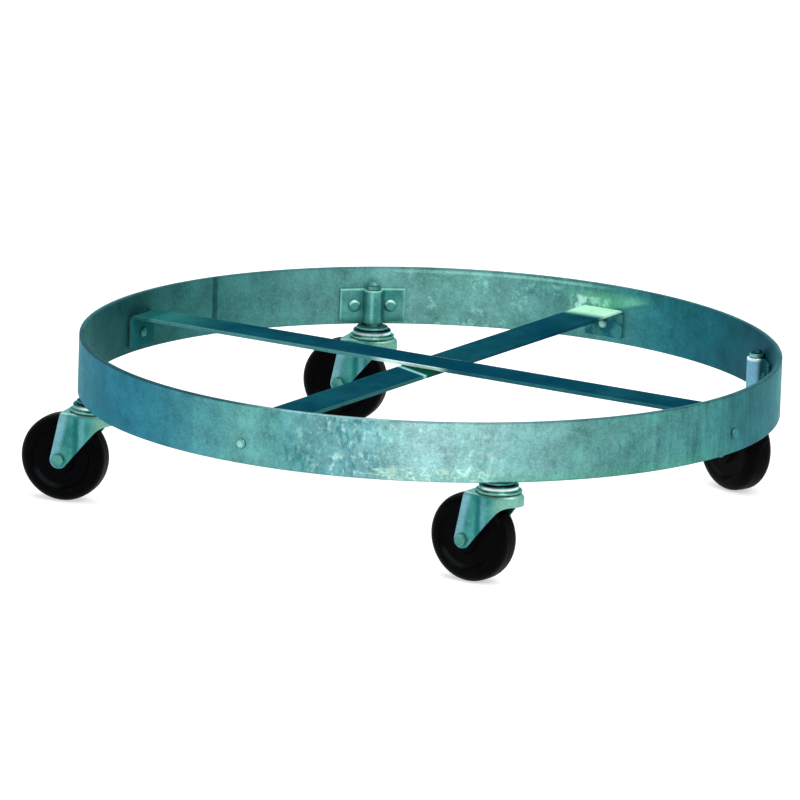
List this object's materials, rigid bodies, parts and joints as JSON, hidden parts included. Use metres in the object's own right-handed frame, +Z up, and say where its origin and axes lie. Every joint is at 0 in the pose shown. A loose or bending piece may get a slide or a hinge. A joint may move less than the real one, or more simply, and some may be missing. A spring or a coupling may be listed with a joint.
{
  "type": "drum dolly",
  "caption": "Low round drum dolly: a flat steel hoop with crossed flat braces, carried on swivel casters whose stems sit in straps inside the hoop.",
  "frame": {"origin": "on the hoop's axis, at the top face of the upper brace, where a drum's bottom rests", "axes": "+Z up along the hoop's axis; +X and +Y towards the right and back casters as the dolly stands"},
  "size_m": [0.6736, 0.6576, 0.1445],
  "materials": {
    "galvanised_band": "galvanised, satin, with a faint spangle",
    "galvanised_bar": "galvanised, satin, darker",
    "galvanised_strap": "galvanised, satin",
    "rivet_steel": "zinc plated, satin",
    "zinc_plate": "bright zinc plate",
    "spring_steel": "bright bare steel",
    "black_wheel": "semi-matt black hard rubber"
  },
  "bodies": {
    "frame": {"hoop_band": "galvanised_band", "brace_upper": "galvanised_bar", "brace_lower": "galvanised_bar", "brace_upper_rivet_a": "rivet_steel", "brace_upper_rivet_b": "rivet_steel", "brace_lower_rivet_a": "rivet_steel", "brace_lower_rivet_b": "rivet_steel", "socket_right": "galvanised_strap", "socket_rivet_right_a": "rivet_steel", "socket_rivet_right_b": "rivet_steel", "stem_right": "zinc_plate", "grip_ring_right": "spring_steel", "thrust_washer_right": "zinc_plate", "raceway_right": "zinc_plate", "socket_back": "galvanised_strap", "socket_rivet_back_a": "rivet_steel", "socket_rivet_back_b": "rivet_steel", "stem_back": "zinc_plate", "grip_ring_back": "spring_steel", "thrust_washer_back": "zinc_plate", "raceway_back": "zinc_plate", "socket_left": "galvanised_strap", "socket_rivet_left_a": "rivet_steel", "socket_rivet_left_b": "rivet_steel", "stem_left": "zinc_plate", "grip_ring_left": "spring_steel", "thrust_washer_left": "zinc_plate", "raceway_left": "zinc_plate", "socket_front": "galvanised_strap", "socket_rivet_front_a": "rivet_steel", "socket_rivet_front_b": "rivet_steel", "stem_front": "zinc_plate", "grip_ring_front": "spring_steel", "thrust_washer_front": "zinc_plate", "raceway_front": "zinc_plate"},
    "swivel_right": {"fork_right": "zinc_plate", "ball_ring_right": "spring_steel", "bushing_right": "spring_steel", "axle_bolt_right": "zinc_plate", "axle_nut_right": "zinc_plate"},
    "wheel_right": {"wheel_right": "black_wheel"},
    "swivel_back": {"fork_back": "zinc_plate", "ball_ring_back": "spring_steel", "bushing_back": "spring_steel", "axle_bolt_back": "zinc_plate", "axle_nut_back": "zinc_plate"},
    "wheel_back": {"wheel_back": "black_wheel"},
    "swivel_left": {"fork_left": "zinc_plate", "ball_ring_left": "spring_steel", "bushing_left": "spring_steel", "axle_bolt_left": "zinc_plate", "axle_nut_left": "zinc_plate"},
    "wheel_left": {"wheel_left": "black_wheel"},
    "swivel_front": {"fork_front": "zinc_plate", "ball_ring_front": "spring_steel", "bushing_front": "spring_steel", "axle_bolt_front": "zinc_plate", "axle_nut_front": "zinc_plate"},
    "wheel_front": {"wheel_front": "black_wheel"}
  },
  "joints": [
    {"name": "swivel_right_turn", "type": "hinge", "parent": "frame", "child": "swivel_right", "pos_m": [0.29774, 0.01248, -0.045], "axis": [0, 0, 1], "continuous": true},
    {"name": "wheel_right_spin", "type": "hinge", "parent": "swivel_right", "child": "wheel_right", "pos_m": [0.28703, 0.03396, -0.0888], "axis": [-0.8949, -0.4462, 0], "continuous": true},
    {"name": "swivel_back_turn", "type": "hinge", "parent": "frame", "child": "swivel_back", "pos_m": [0.00624, 0.29794, -0.045], "axis": [0, 0, 1], "continuous": true},
    {"name": "wheel_back_spin", "type": "hinge", "parent": "swivel_back", "child": "wheel_back", "pos_m": [-0.01429, 0.31037, -0.0888], "axis": [-0.518, -0.8554, 0], "continuous": true},
    {"name": "swivel_left_turn", "type": "hinge", "parent": "frame", "child": "swivel_left", "pos_m": [-0.29756, 0.01612, -0.045], "axis": [0, 0, 1], "continuous": true},
    {"name": "wheel_left_spin", "type": "hinge", "parent": "swivel_left", "child": "wheel_left", "pos_m": [-0.31845, 0.02793, -0.0888], "axis": [-0.4924, -0.8704, 0], "continuous": true},
    {"name": "swivel_front_turn", "type": "hinge", "parent": "frame", "child": "swivel_front", "pos_m": [0.0026, -0.29799, -0.045], "axis": [0, 0, 1], "continuous": true},
    {"name": "wheel_front_spin", "type": "hinge", "parent": "swivel_front", "child": "wheel_front", "pos_m": [-0.01437, -0.28102, -0.0888], "axis": [-0.7071, -0.7071, 0], "continuous": true}
  ]
}
